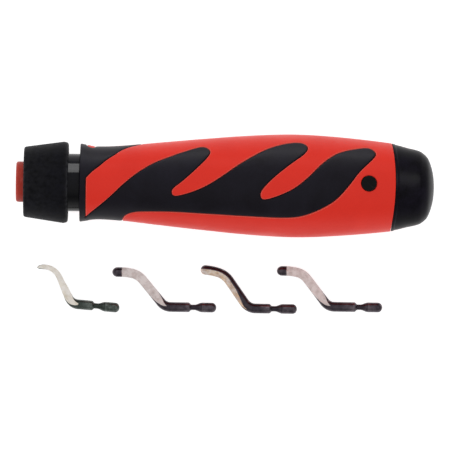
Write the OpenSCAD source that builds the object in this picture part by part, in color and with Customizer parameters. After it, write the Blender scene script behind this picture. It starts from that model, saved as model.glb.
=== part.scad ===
// Deburring tool: a swivel-blade holder with a quick-release collar, a two-part
// handle that stores spare blades, a rear cap, and four loose blades.
// The tool's axis is X: the nose is at x = 0, the cap at the far end, and the
// cap's button faces +Z. The tool and its blades lie on the plane z = -belly_r.

/* [Handle] */
// Where the handle's front face is
handle_front = 20.8; // [20.6:0.1:21.4]
// Radius at the widest part of the belly
belly_r = 16.75; // [16.5:0.05:17]
// Depth of the soft grip that is let into the hard shell
grip_depth = 1.2; // [0.8:0.1:1.4]
// Radius of the chamber for spare blades
chamber_r = 10.2; // [9.8:0.1:10.4]
// Where the bulkhead behind the chuck ends and the chamber begins
chamber_front = 43; // [42:0.5:44]

/* [Chuck] */
// Radius of the nose that holds the blade
nose_r = 6.6; // [6.4:0.05:6.6]
// Radius of the bore for a blade's shank
blade_bore_r = 1.65; // [1.62:0.01:1.7]
// Distance from the nose face to the lock pins
pin_x = 7.5; // [7.3:0.1:7.7]
// Radius of a lock pin
pin_r = 1; // [0.9:0.05:1]
// Radius of the neck behind the collar
neck_r = 9.4; // [9.3:0.05:9.4]

/* [Collar] */
// How far the collar pulls back
collar_travel = 3.2; // [2.8:0.1:3.2]
// How far each lock pin moves out as the collar pulls back
pin_travel = 0.6; // [0.5:0.05:0.6]
// Number of turns in the collar spring
collar_turns = 4; // [3:1:4]

/* [Cap] */
// Overall length of the tool
tool_length = 136; // [134:0.5:138]
// Radius of the spigot that enters the handle
spigot_r = 11.1; // [11:0.05:11.1]
// Distance from the nose face to the button
button_x = 114.6; // [114:0.1:115]
// Radius of the button
button_r = 2.5; // [2.3:0.1:2.5]
// How far the button presses in
button_travel = 1; // [0.6:0.1:1]

/* [Blades] */
// Radius of a blade's shank
shank_r = 1.6; // [1.55:0.01:1.6]

/* [Hidden] */

fine = 96;        // facets round an exact turned part
coarse = 72;      // facets round the handle's moulded skins
eps = 0.01;       // how far a cutter passes the face that it cuts
run = 0.05;       // radial running clearance

floor_z = -belly_r;
nose_length = 31;
bore_depth = 14.5;
relief_r = 1.9;                       // wider ring in the bore round the lock pins
relief_half = 1.1;
pin_inner = 1.2;                      // a pin's inner end: it enters the bore
pin_outer = 6.5;                      // a pin's outer end: it meets the cam ring
chuck_front = 12.8;
counterbore_r = 8.6;
counterbore_back = 17;
washer_t = 0.6;
spring_wire_r = 0.45;
spring_r = 7.6;
ring_front = 13.3;
ring_t = 0.8;
collar_front = 2.5;
collar_back = 17;
cam_front = 3.3;
cam_back = 9.4;
cam_outer_r = 10.3;
cam_inner_r = nose_r + 0.1;
cam_slope = pin_travel / collar_travel;
chuck_spigot_r = 8;
chuck_spigot_back = 38;
stud_r = 3;
chuck_pin_x = 26;
chuck_pin_r = 1.5;
clamp_washer_t = 1.2;
nut_height = 5;
nut_flats = 10;
counter_r = spigot_r + 0.1;           // the handle's bore for the cap's spigot
counter_front = 108;
spigot_front = 109;
cap_wall_r = 9.4;
cap_cavity_back = 130;
seam_r = 80;                          // the seam is part of a drum, its axis along Z
seam_x = 123.3 - seam_r;
seam_gap = 0.1;
seal_x = 119.6;
seal_wire_r = 0.45;
seal_r = 10.6;
button_top = 15.4;
button_under = 13.6;
button_ledge = 12;
button_foot = 9.6;
stem_r = 1.3;
clip_z = 10.55;
clip_t = 0.4;
clip_r = 2;

// Outline of the handle from front to back: [x, radius]
handle_outline = [
    [handle_front, 12.8], [23.1, 12.35], [25, 11.95], [28.6, 11.85], [34.5, 12.2], [40, 12.75],
    [46, 13.4], [52, 14], [58, 14.6], [64, 15.15], [70, 15.7], [76, 16.15], [82, 16.5],
    [89.5, 16.75], [97, 16.58], [104, 16.15], [110, 15.65], [116, 15.05], [122, 14.35],
    [124.5, 13.9]
];
// Outline of the cap behind the seam: [x, radius]
cap_outline = [
    [121, 14.45], [122.2, 14.3], [124.3, 13.8], [127.2, 12.9], [130.2, 12.3],
    [132.1, 11.4], [134.1, 9.3], [135.6, 4.9], [tool_length, 0]
];
// Edge of the soft grip, seen from above: the front edge from the top of the
// handle down to the first bay, then round the three fingers and along the spine.
grip_front_edge = [
    [43.5, 16], [40.2, 12.5], [37.1, 11.6], [34.4, 10.4], [31.9, 8.6], [29.4, 6.8],
    [27.2, 4.8], [24.9, 2.9], [22.8, 0.6]
];
grip_finger_edge = [
    [22.8, -11.6], [26.1, -9.1], [30.8, -5.3], [35.2, -1.1], [39.8, 2.7], [44.9, 5.9],
    [50.5, 8.3], [56.1, 10.4], [60.5, 11.6], [62.9, 10.3], [62.2, 8], [58.4, 3.9],
    [54, -0.2], [51.6, -2.1], [50.7, -3.6], [51.8, -5], [56.7, -3.9], [62.2, -1.5],
    [67.3, 1.8], [72.2, 5.4], [77.2, 8.6], [82.5, 11.4], [88.3, 13.1], [92.5, 13.3],
    [94.6, 11.8], [93.4, 9.3], [88.7, 5.6], [84.1, 1.7], [80.6, -2], [79.5, -4.2],
    [80.6, -5.9], [85.5, -4.6], [90.8, -1.9], [95.4, 2], [99.6, 6.4], [104.5, 9.9],
    [110.3, 11.6], [114.5, 12], [116.7, 10.2], [115.6, 8], [111.5, 3.7], [107.9, -1.2],
    [103.8, -5.7], [98.7, -8.8], [93, -10.9], [86.9, -11.5], [74.8, -11.1],
    [62.7, -10.5], [50.6, -9.9], [41.5, -9.9], [38, -10.2], [35.6, -10.9],
    [34.2, -12.2], [33.4, -16]
];
grip_corners = [[20, -20], [20, 20]];
// A small patch of the hard shell that shows through the grip behind the flange
grip_patch = [
    [23, 20], [23, 11.9], [23.5, 11.45], [24.3, 11.3], [25.1, 11.45], [25.6, 11.8], [25.7, 20]
];

// One point of a Catmull-Rom curve through the points p, between p[i] and p[i + 1]
function curve_point(p, i, t) =
    let (
        last = len(p) - 1,
        a = p[max(i - 1, 0)],
        b = p[i],
        c = p[min(i + 1, last)],
        d = p[min(i + 2, last)]
    )
    0.5 * (2 * b + (c - a) * t + (2 * a - 5 * b + 4 * c - d) * t * t
        + (3 * b - a - 3 * c + d) * t * t * t);

// A smooth curve through the points p, with n steps between each pair
function curve(p, n) = concat(
    [for (i = [0 : len(p) - 2], k = [0 : n - 1]) curve_point(p, i, k / n)],
    [p[len(p) - 1]]
);

// A body of revolution about X, from an outline of [x, radius] points
module turned(outline, facets = fine) {
    rotate([0, 90, 0])
        rotate_extrude($fn = facets)
            polygon([for (p = outline) [p[1], p[0]]]);
}

// A solid rod or, with an inner radius, a tube along X
module tube(x0, x1, outer, inner = 0) {
    turned([[x0, inner], [x1, inner], [x1, outer], [x0, outer]]);
}

// A cylinder along X, for cutting
module drill(x0, x1, r) {
    translate([x0, 0, 0])
        rotate([0, 90, 0])
            cylinder(r = r, h = x1 - x0, $fn = fine);
}

// A radial hole or rod along Z
module radial(x, z0, z1, r) {
    translate([x, 0, z0])
        cylinder(r = r, h = z1 - z0, $fn = fine);
}

// A coil of round wire along Z with flat-sided ends
module coil(r, wire_r, height, turns, sides = 8, steps = 20) {
    count = turns * steps;
    rise = height - 2 * wire_r;
    function ring(k) = [
        for (s = [0 : sides - 1])
            let (
                a = 360 * k / steps,
                b = 360 * s / sides,
                d = r + wire_r * cos(b)
            )
            [d * cos(a), d * sin(a), wire_r + rise * k / count + wire_r * sin(b)]
    ];
    points = [for (k = [0 : count]) each ring(k)];
    walls = [
        for (k = [0 : count - 1], s = [0 : sides - 1])
            let (n = (s + 1) % sides)
            [k * sides + n, (k + 1) * sides + n, (k + 1) * sides + s, k * sides + s]
    ];
    near_end = [for (s = [sides - 1 : -1 : 0]) s];
    far_end = [for (s = [0 : sides - 1]) count * sides + s];
    polyhedron(points, concat(walls, [near_end, far_end]));
}

// ---- Chuck ----

module nose_bush() {
    color([0.68, 0.13, 0.10])
        difference() {
            turned([[0, 0], [0, nose_r - 0.5], [0.5, nose_r], [nose_length, nose_r], [nose_length, 0]]);
            drill(-eps, bore_depth, blade_bore_r);
            drill(pin_x - relief_half, pin_x + relief_half, relief_r);
            radial(pin_x, -nose_r - 1, nose_r + 1, pin_r + run);
            chuck_pin_hole();
        }
}

module chuck_pin_hole() {
    translate([chuck_pin_x, 0, 0])
        rotate([90, 0, 0])
            cylinder(r = chuck_pin_r, h = 2 * chuck_spigot_r + 2, center = true, $fn = fine);
}

module lock_pin_top() {
    color([0.72, 0.73, 0.75])
        radial(pin_x, pin_inner, pin_outer, pin_r);
}

module lock_pin_bottom() {
    mirror([0, 0, 1])
        lock_pin_top();
}

module release_collar() {
    color([0.09, 0.09, 0.10])
        turned([
            [collar_front, nose_r + 0.3], [collar_front, 10.6], [2.8, 11.2], [3.4, 11.55],
            [15, 13.2], [16, 13.1], [16.7, 12.6], [collar_back, 11.9],
            [collar_back, neck_r + 0.1], [14.2, neck_r + 0.1], [14.2, cam_outer_r],
            [cam_front, cam_outer_r], [cam_front, nose_r + 0.3]
        ]);
}

module cam_ring() {
    cone_back = pin_x + pin_r;
    color([0.78, 0.66, 0.36])
        turned([
            [cam_front, cam_inner_r + cam_slope * (cone_back - cam_front)],
            [cone_back, cam_inner_r], [cam_back, cam_inner_r],
            [cam_back, cam_outer_r], [cam_front, cam_outer_r]
        ]);
}

module collar_spring() {
    length = counterbore_back - washer_t - cam_back;
    color([0.62, 0.63, 0.65])
        translate([cam_back, 0, 0])
            rotate([0, 90, 0])
                coil(spring_r, spring_wire_r, length, collar_turns);
}

module spring_washer() {
    color([0.70, 0.71, 0.73])
        tube(counterbore_back - washer_t, counterbore_back, counterbore_r - 0.1, nose_r + 0.1);
}

module retaining_ring() {
    color([0.30, 0.30, 0.32])
        difference() {
            tube(ring_front, ring_front + ring_t, neck_r + 0.55, neck_r - 0.4);
            translate([ring_front + ring_t / 2, 0, -neck_r])
                cube([2, 4, 4], center = true);
        }
}

module chuck_body() {
    color([0.06, 0.06, 0.07])
        difference() {
            turned([
                [chuck_front, 0], [chuck_front, neck_r - 0.3], [chuck_front + 0.3, neck_r],
                [ring_front, neck_r], [ring_front, neck_r - 0.4],
                [ring_front + ring_t, neck_r - 0.4], [ring_front + ring_t, neck_r],
                [handle_front, neck_r], [handle_front, chuck_spigot_r],
                [chuck_spigot_back, chuck_spigot_r], [chuck_spigot_back, stud_r],
                [chamber_front + 7.5, stud_r], [chamber_front + 8, stud_r - 0.5],
                [chamber_front + 8, 0]
            ]);
            drill(chuck_front - eps, counterbore_back, counterbore_r);
            drill(chuck_front, nose_length, nose_r);
            chuck_pin_hole();
        }
}

module chuck_pin() {
    color([0.66, 0.67, 0.70])
        translate([chuck_pin_x, 0, 0])
            rotate([90, 0, 0])
                cylinder(r = chuck_pin_r, h = 2 * chuck_spigot_r - 0.4, center = true, $fn = fine);
}

module clamp_washer() {
    color([0.74, 0.75, 0.77])
        tube(chamber_front, chamber_front + clamp_washer_t, 6.5, stud_r);
}

module clamp_nut() {
    x0 = chamber_front + clamp_washer_t;
    color([0.74, 0.75, 0.77])
        difference() {
            translate([x0, 0, 0])
                rotate([0, 90, 0])
                    cylinder(d = nut_flats / cos(30), h = nut_height, $fn = 6);
            drill(x0 - eps, x0 + nut_height + eps, stud_r);
        }
}

// ---- Handle ----

// The hard core under the soft grip: the handle's outline moved inwards, and a
// step at the front that lets the grip close the front face. A post carries the
// small patch that shows through the grip.
module grip_floor() {
    translate([23.4, 0, -3])
        cube([1.8, 11.5, 6]);
    inset = [for (p = handle_outline) if (p[0] > 23) [p[0], p[1] - grip_depth]];
    turned(
        concat([[20, 0], [20, neck_r + 0.4], [22.1, neck_r + 0.4]], inset, [[124.5, 0]]),
        coarse
    );
}

// The whole handle as one solid
module handle_blank() {
    turned(concat([[handle_front, 0]], handle_outline, [[124.5, 0]]), coarse);
}

// Everything outside the core that the soft grip's outline covers, seen from
// above. The same outline is cut right through, so both faces match.
module grip_cutter() {
    edge = concat(
        grip_corners, grip_patch, curve(grip_front_edge, 2), curve(grip_finger_edge, 3)
    );
    difference() {
        translate([0, 0, -25])
            linear_extrude(50)
                polygon(edge);
        grip_floor();
    }
}

module handle_shell() {
    color([0.88, 0.21, 0.16])
        resize([0, 0, 0])
            difference() {
                handle_blank();
                grip_cutter();
                // Rear seam
                difference() {
                    translate([100, -30, -30])
                        cube([40, 60, 60]);
                    translate([seam_x, 0, -30])
                        cylinder(r = seam_r, h = 60, $fn = 360);
                }
                faceted_drill(handle_front - 1, chuck_spigot_back, chuck_spigot_r);
                faceted_drill(chuck_spigot_back - 1, chamber_front + 1, stud_r + 0.1);
                faceted_drill(chamber_front, 130, chamber_r);
                faceted_drill(counter_front, 130, counter_r);
                translate([button_x, 0, button_ledge])
                    cylinder(r = button_r + 0.1, h = 10, $fn = 48);
                translate([button_x, 0, counter_r - 2])
                    cylinder(r = stem_r + 0.12, h = 10, $fn = 36);
            }
}

// A bore in the moulded shell, opened a little so that its facets clear the shaft
module faceted_drill(x0, x1, r) {
    translate([x0, 0, 0])
        rotate([0, 90, 0])
            cylinder(r = r / cos(180 / coarse) + eps, h = x1 - x0, $fn = coarse);
}

module grip_overmould() {
    color([0.08, 0.08, 0.09])
        resize([0, 0, 0])
            intersection() {
                handle_blank();
                grip_cutter();
            }
}

// ---- Cap ----

module end_cap() {
    color([0.09, 0.09, 0.10])
        difference() {
            union() {
                difference() {
                    turned(concat([[121, 0]], cap_outline));
                    translate([seam_x, 0, -30])
                        cylinder(r = seam_r + seam_gap, h = 60, $fn = 360);
                }
                drill(spigot_front, cap_cavity_back, spigot_r);
            }
            drill(spigot_front - eps, cap_cavity_back, cap_wall_r);
            seal_groove();
            button_slot();
        }
}

module seal_groove() {
    tube(seal_x - 0.5, seal_x + 0.5, spigot_r + 1, seal_r - seal_wire_r);
}

// Lets the button's stem pass as the cap is drawn off
module button_slot() {
    half = clip_r + 0.4;
    translate([spigot_front - 1, -half, cap_wall_r - 3])
        cube([button_x - spigot_front + 1, 2 * half, 6]);
    radial(button_x, cap_wall_r - 3, cap_wall_r + 3, half);
}

module cap_seal() {
    color([0.05, 0.05, 0.05])
        translate([seal_x, 0, 0])
            rotate([0, 90, 0])
                rotate_extrude($fn = fine)
                    translate([seal_r, 0])
                        circle(r = seal_wire_r, $fn = 24);
}

module latch_button() {
    color([0.07, 0.07, 0.08])
        translate([button_x, 0, 0])
            rotate_extrude($fn = fine)
                polygon([
                    [0, button_foot], [stem_r - 0.3, button_foot], [stem_r, button_foot + 0.3],
                    [stem_r, clip_z], [stem_r - 0.3, clip_z], [stem_r - 0.3, clip_z + clip_t],
                    [stem_r, clip_z + clip_t], [stem_r, button_under],
                    [button_r, button_under], [button_r, button_top - 0.4],
                    [button_r - 0.5, button_top - 0.1], [button_r - 1.2, button_top], [0, button_top]
                ]);
}

module button_clip() {
    color([0.70, 0.71, 0.73])
        translate([button_x, 0, clip_z])
            difference() {
                cylinder(r = clip_r, h = clip_t, $fn = fine);
                translate([0, 0, -eps])
                    cylinder(r = stem_r - 0.3, h = clip_t + 2 * eps, $fn = fine);
            }
}

module button_spring() {
    color([0.62, 0.63, 0.65])
        translate([button_x, 0, button_ledge])
            coil(1.95, 0.15, button_under - button_ledge, 2, 6, 16);
}

// ---- Blades ----
// A blade is a round bar swept along a flat path from its head. Each row of its
// table is one stretch: [length, turn, radius at its end, facet height at its
// end, steps]. The facet is the flat that is ground into the bar: its height is
// measured from the bar's axis, so a height of one radius leaves the bar round.

shank_rows = [
    [0.1, 0, 0.75, 2, 1], [0.25, 0, 1.15, 2, 1], [0.45, 0, 1.45, 2, 1],
    [0.6, 0, shank_r, 2, 1], [3.35, 0, shank_r, 2, 1], [0.9, 0, 1.25, 2, 1],
    [1.5, 0, 0.9, 2, 1], [1, 0, 0.9, 2, 1], [0.9, 0, shank_r, 2, 1]
];
hook_rows = concat(shank_rows, [
    [4.6, 0, shank_r, 1.6, 1], [3.7, -60, 1.4, 0.66, 5], [1.6, 0, 1.3, 0.27, 1],
    [6.2, 0, 0.95, 0.13, 1], [4.6, 48, 0.84, 0.14, 6], [1.8, 18, 0.78, 0.39, 2],
    [1.3, 6, 0.6, 0.46, 2], [0.7, 2, 0.2, 0.18, 1]
]);
side_rows = concat(shank_rows, [
    [4.5, 0, shank_r, 1.6, 1], [4.3, -54.5, 1.58, 1.5, 5], [2.5, 0, 1.58, 1.25, 1],
    [2.5, 0, 1.58, 1, 1], [3.75, 0, 1.58, 0.9, 1], [4.2, 36, 1.58, 0.9, 6],
    [3.5, 12, 1.58, 0.9, 3], [1.1, 0, 1.58, 0.9, 1], [0.6, 0, 1.46, 0.84, 1],
    [0.45, 0, 1.14, 0.65, 1], [0.3, 0, 0.7, 0.4, 1], [0.2, 0, 0.25, 0.14, 1]
]);

// A wide blade's rows, for its straight length and the angle of its first bend
function wide_rows(straight, bend) = concat(shank_rows, [
    [straight, 0, shank_r, 1.6, 1], [1.2, -bend / 3, 1.58, 1.58, 2],
    [2.4, -2 * bend / 3, 1.57, 1.33, 4], [1.5, 0, 1.55, 1, 1],
    [1.6, 0, 1.53, 0.67, 1], [2, 0, 1.52, 0.32, 1], [4.3, 0, 1.52, 0.16, 1],
    [4.2, bend - 12, 1.55, 0.16, 6], [3.3, 11, 1.57, 0.16, 3], [0.05, 0, 1.6, 1.6, 1], [1.5, 2, 1.6, 1.6, 1],
    [0.65, 0, 1.48, 2, 1], [0.5, 0, 1.18, 2, 1], [0.35, 0, 0.75, 2, 1], [0.2, 0, 0.25, 2, 1]
]);

// The step along a path of the given length that turns by turn from heading h
function path_step(length, turn, h) =
    turn == 0
    ? length * [cos(h), sin(h)]
    : length * 180 / (PI * turn) * [sin(h + turn) - sin(h), cos(h) - cos(h + turn)];

// The rings of a swept bar: [place, heading, radius, facet height]
function stations(rows, i, place, h, r, facet) =
    i == len(rows)
    ? []
    : let (
        row = rows[i],
        n = row[4],
        here = [
            for (k = [1 : n])
                let (t = k / n)
                [
                    place + path_step(row[0] * t, row[1] * t, h),
                    h + row[1] * t,
                    r + (row[2] - r) * t,
                    facet + (row[3] - facet) * t
                ]
        ]
    )
    concat(here, stations(rows, i + 1, here[n - 1][0], h + row[1], row[2], row[3]));

// A bar swept along its rows, its facet turned by tilt from straight up
module blade_bar(rows, tilt = 0, sides = 20) {
    head = 0.4;
    rings = concat([[[0, 0], 180, head, 2]], stations(rows, 0, [0, 0], 180, head, 2));
    count = len(rings);
    function ring(s) = [
        for (k = [0 : sides - 1])
            let (
                a = 360 * (k + 0.5) / sides,
                up = min(s[2] * cos(a), s[3]),
                across = s[2] * sin(a),
                side = up * sin(tilt) + across * cos(tilt)
            )
            [
                s[0][0] - side * sin(s[1]),
                s[0][1] + side * cos(s[1]),
                up * cos(tilt) - across * sin(tilt)
            ]
    ];
    walls = [
        for (j = [0 : count - 2], k = [0 : sides - 1])
            let (n = (k + 1) % sides)
            [j * sides + n, (j + 1) * sides + n, (j + 1) * sides + k, j * sides + k]
    ];
    head_end = [for (k = [sides - 1 : -1 : 0]) k];
    tip_end = [for (k = [0 : sides - 1]) (count - 1) * sides + k];
    polyhedron([for (s = rings) each ring(s)], concat(walls, [head_end, tip_end]));
}

// Puts a blade on the floor with its head at [x, y], turned by angle
module lay(x, y, angle = 0) {
    translate([x, y, floor_z + shank_r])
        rotate([0, 0, angle])
            children();
}

module blade_1() {
    color([0.22, 0.24, 0.23])
        lay(34.15, -39.7, -4.1)
            blade_bar(hook_rows);
}

module blade_2() {
    color([0.16, 0.15, 0.17])
        lay(65.8, -39.1)
            blade_bar(wide_rows(5.9, 50));
}

module blade_3() {
    color([0.16, 0.15, 0.17])
        lay(92.15, -39.15)
            blade_bar(side_rows, tilt = 50);
}

module blade_4() {
    color([0.16, 0.15, 0.17])
        lay(120, -38.2)
            blade_bar(wide_rows(6.65, 52));
}

nose_bush();
lock_pin_top();
lock_pin_bottom();
release_collar();
cam_ring();
collar_spring();
spring_washer();
retaining_ring();
chuck_body();
chuck_pin();
clamp_washer();
clamp_nut();
handle_shell();
grip_overmould();
end_cap();
cap_seal();
latch_button();
button_spring();
button_clip();
blade_1();
blade_2();
blade_3();
blade_4();
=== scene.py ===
# %% [markdown]
# # A deburring tool with a two-colour handle
# The tool scrapes the sharp edge off cut pipe. It has a holder with a pull-back collar,
# a hard red handle with a soft black grip let into it, a rear cap that closes a store for
# spare blades, and four loose blades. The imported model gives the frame: every piece below
# is modelled in millimetres in that frame and rides on one of its bodies.

# %% Load the frame
import math

import bmesh
import bpy
import numpy as np
from mathutils import Matrix, Vector
from mathutils.geometry import delaunay_2d_cdt


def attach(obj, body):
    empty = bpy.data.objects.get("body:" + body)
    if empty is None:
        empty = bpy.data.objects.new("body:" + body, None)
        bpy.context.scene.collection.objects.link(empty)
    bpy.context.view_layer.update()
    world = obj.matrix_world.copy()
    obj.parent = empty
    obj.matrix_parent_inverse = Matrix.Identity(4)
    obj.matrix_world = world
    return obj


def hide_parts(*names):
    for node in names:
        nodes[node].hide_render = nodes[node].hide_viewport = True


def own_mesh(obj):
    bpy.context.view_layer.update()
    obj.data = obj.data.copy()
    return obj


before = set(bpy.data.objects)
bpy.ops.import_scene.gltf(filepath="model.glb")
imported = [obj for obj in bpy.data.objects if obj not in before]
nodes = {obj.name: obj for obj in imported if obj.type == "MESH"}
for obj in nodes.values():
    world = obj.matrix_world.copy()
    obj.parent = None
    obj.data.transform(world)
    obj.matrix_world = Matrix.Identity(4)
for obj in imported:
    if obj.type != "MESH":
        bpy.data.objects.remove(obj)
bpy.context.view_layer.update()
MM = 0.001

# %% [markdown]
# ## Curves and corners
# Moulded and turned parts are outlines with soft corners. One helper runs a smooth curve
# through a few points, and another rounds the corners of a straight-sided outline by
# putting a short arc on each.

# %% Smooth curves and rounded outlines


def smooth_curve(points, steps):
    """A Catmull-Rom curve through the points, with steps between each pair."""
    p = np.array(points, float)
    p = np.vstack([2 * p[0] - p[1], p, 2 * p[-1] - p[-2]])
    t = np.arange(steps)[:, None] / steps
    spans = []
    for a, b, c, d in zip(p[:-3], p[1:-2], p[2:-1], p[3:]):
        spans.append(0.5 * (2 * b + (c - a) * t + (2 * a - 5 * b + 4 * c - d) * t**2
                            + (3 * b - a - 3 * c + d) * t**3))
    return np.vstack(spans + [p[-2:-1]])


def even_steps(points, spacing):
    """The same line with points an even distance apart."""
    p = np.array(points, float)
    run = np.r_[0, np.cumsum(np.linalg.norm(np.diff(p, axis=0), axis=1))]
    stops = np.linspace(0, run[-1], max(2, round(run[-1] / spacing)) + 1)
    return np.column_stack([np.interp(stops, run, p[:, k]) for k in range(2)])


def rounded(outline, steps=5):
    """Rounds the corners of a closed outline of (x, radius) or (x, radius, corner) points."""
    result = []
    for k, here in enumerate(outline):
        corner = here[2] if len(here) > 2 else 0
        here = Vector(here[:2])
        if not corner:
            result.append(tuple(here))
            continue
        before = Vector(outline[k - 1][:2]) - here
        after = Vector(outline[(k + 1) % len(outline)][:2]) - here
        half = before.angle(after) / 2
        reach = min(corner / math.tan(half), before.length / 2, after.length / 2)
        start = here + before.normalized() * reach
        end = here + after.normalized() * reach
        for i in range(steps + 1):
            t = i / steps
            result.append(tuple(start * (1 - t) ** 2 + here * 2 * t * (1 - t) + end * t**2))
    return result


print("a rounded square has", len(rounded([(0, 0, 1), (4, 0, 1), (4, 4, 1), (0, 4, 1)])), "points")

# %% [markdown]
# ## Making and placing a piece
# A piece is a mesh made straight from points and faces. Its doubles are merged, its faces
# are turned outwards, and sharp edges are marked by angle so that flats stay crisp while
# curves shade smoothly. `turned` spins an outline about the tool's axis, which is what a
# lathe or a round mould does.

# %% Build a closed mesh, spin an outline
TURN_STEPS = 192
SHARP = math.radians(32)


def new_object(name, data):
    thing = bpy.data.objects.new(name, data)
    bpy.context.scene.collection.objects.link(thing)
    return thing


def make_piece(name, points, faces, materials, face_material=None, merge=0.0005, sharp=SHARP):
    """A closed, outward-facing mesh object from points in millimetres."""
    mesh = bpy.data.meshes.new(name)
    mesh.from_pydata([tuple(p) for p in points], [], [tuple(f) for f in faces])
    if face_material is not None:
        mesh.polygons.foreach_set("material_index", np.array(face_material, np.int32))
    bm = bmesh.new()
    bm.from_mesh(mesh)
    bmesh.ops.remove_doubles(bm, verts=bm.verts, dist=merge)
    bmesh.ops.dissolve_degenerate(bm, edges=bm.edges, dist=merge / 10)
    bmesh.ops.recalc_face_normals(bm, faces=bm.faces)
    open_edges = sum(1 for e in bm.edges if len(e.link_faces) != 2)
    if bm.calc_volume(signed=True) < 0:
        bmesh.ops.reverse_faces(bm, faces=bm.faces)
    bmesh.ops.scale(bm, vec=(MM, MM, MM), verts=bm.verts)
    bm.to_mesh(mesh)
    bm.free()
    mesh.shade_smooth()
    mesh.set_sharp_from_angle(angle=sharp)
    for material in materials:
        mesh.materials.append(material)
    print(f"{name}: {len(mesh.polygons)} faces, {open_edges} open edges")
    return new_object(name, mesh)


def spin_points(outline, steps=TURN_STEPS):
    """Points and faces of a closed (x, radius) outline spun about X. Points on the axis become poles."""
    points, rings = [], []
    for x, r in outline:
        if r < 1e-6:
            rings.append([len(points)] * steps)
            points.append((x, 0, 0))
            continue
        ring = []
        for k in range(steps):
            a = 2 * math.pi * k / steps
            ring.append(len(points))
            points.append((x, r * math.sin(a), r * math.cos(a)))
        rings.append(ring)
    faces = []
    for near, far in zip(rings, rings[1:] + rings[:1]):
        for k in range(steps):
            n = (k + 1) % steps
            face = list(dict.fromkeys([near[k], near[n], far[n], far[k]]))
            if len(face) > 2:
                faces.append(face)
    return points, faces


def turned(name, outline, material):
    """A lathe-turned piece about the tool's axis."""
    return make_piece(name, *spin_points(rounded(outline)), [material])


def install(piece, body, material_slot, *replaced):
    """Puts a finished piece on its body and hides the CAD solids it stands for. Its material_slot is not
    used.
    """
    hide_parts(*replaced)
    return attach(piece, body)


print("one turned ring has", len(spin_points([(0, 1), (1, 1), (1, 2), (0, 2)])[1]), "faces")

# %% [markdown]
# ## Surface effects shared by the materials
# Real plastic and steel are never one flat colour. Three small node groups hold the
# effects that several finishes share: a fine grain that breaks up colour, gloss and
# height, soft patches of handling shine, and wear that brightens convex edges. They put
# out only masks and heights. The shader itself stays in each material.

# %% Node groups: grain, handling patches, edge wear


def new_group(name, inputs, outputs, kind="Shader"):
    """An empty node group. An input is a number, or its socket's kind and its default."""
    group = bpy.data.node_groups.new(name, kind + "NodeTree")
    for label, default in inputs.items():
        socket, default = default if isinstance(default, tuple) else ("Float", default)
        item = group.interface.new_socket(label, in_out="INPUT", socket_type="NodeSocket" + socket)
        if default is not None:
            item.default_value = default
    for label, socket in outputs.items():
        group.interface.new_socket(label, in_out="OUTPUT", socket_type="NodeSocket" + socket)
    return group, group.nodes.new("NodeGroupInput"), group.nodes.new("NodeGroupOutput")


def feed(tree, node, **values):
    """Sets inputs by name, or by number after an underscore; a value that is a socket is linked."""
    for key, value in values.items():
        socket = node.inputs[int(key[1:]) if key[0] == "_" else key.replace("_", " ")]
        if isinstance(value, bpy.types.NodeSocket):
            tree.links.new(value, socket)
        else:
            socket.default_value = value
    return node


def add_node(tree, kind, operation=None, **values):
    """Adds a node and feeds its inputs."""
    node = tree.nodes.new(kind)
    if operation:
        node.operation = operation
    return feed(tree, node, **values)


def remap(tree, value, low, high, to_low, to_high):
    """Maps a value's range onto another, held at both ends."""
    return add_node(tree, "ShaderNodeMapRange", Value=value, From_Min=low, From_Max=high,
                    To_Min=to_low, To_Max=to_high).outputs["Result"]


def noise(tree, **values):
    """Noise in the object's own space."""
    place = add_node(tree, "ShaderNodeTexCoord")
    return add_node(tree, "ShaderNodeTexNoise", Vector=place.outputs["Object"], **values).outputs["Fac"]


def times(tree, a, b):
    return add_node(tree, "ShaderNodeMath", "MULTIPLY", _0=a, _1=b)


def make_grain():
    group, source, result = new_group("fine_grain", {"Scale": 1500.0},
                                      {"Mask": "Float", "Height": "Float"})
    fine = noise(group, Scale=source.outputs["Scale"], Detail=3.0, Roughness=0.55)
    feed(group, result, Mask=remap(group, fine, 0.3, 0.7, 0.0, 1.0), Height=fine)
    return group


def make_patches():
    group, source, result = new_group("handling_patches", {"Scale": 90.0}, {"Mask": "Float"})
    broad = noise(group, Scale=source.outputs["Scale"], Detail=4.0, Roughness=0.6, Distortion=0.4)
    feed(group, result, Mask=remap(group, broad, 0.35, 0.68, 0.0, 1.0))
    return group


def make_edge_wear():
    group, source, result = new_group("edge_wear", {"Amount": 1.0}, {"Mask": "Float"})
    shape = add_node(group, "ShaderNodeNewGeometry")
    edge = remap(group, shape.outputs["Pointiness"], 0.505, 0.56, 0.0, 1.0)
    broken = remap(group, noise(group, Scale=700.0, Detail=3.0), 0.35, 0.6, 0.25, 1.0)
    scaled = times(group, times(group, edge, broken).outputs[0], source.outputs["Amount"])
    scaled.use_clamp = True
    feed(group, result, Mask=scaled.outputs[0])
    return group


GRAIN, PATCHES, EDGE_WEAR = make_grain(), make_patches(), make_edge_wear()
print("groups:", [g.name for g in (GRAIN, PATCHES, EDGE_WEAR)])

# %% [markdown]
# ## A finish from a handful of values
# Every finish mixes a base colour with a second one by the patches and the grain, takes
# its roughness from the same masks, adds a fine bump, and lightens worn edges as far as
# its wear says; the shell, grip, neck and cap have none. One function wires that up, and
# each material below is then a short line of values, the way a paint recipe is.

# %% The finish recipe


def place_group(tree, group, **values):
    node = tree.nodes.new("ShaderNodeGroup")
    node.node_tree = group
    return feed(tree, node, **values)


def mix_colour(tree, mask, a, b):
    """Mixes two colours, each a value or a socket, by a mask."""
    node = tree.nodes.new("ShaderNodeMix")
    node.data_type = "RGBA"
    a, b = ((*c, 1) if isinstance(c, tuple) else c for c in (a, b))
    feed(tree, node, Factor=mask, _6=a, _7=b)
    return node.outputs[2]


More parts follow.
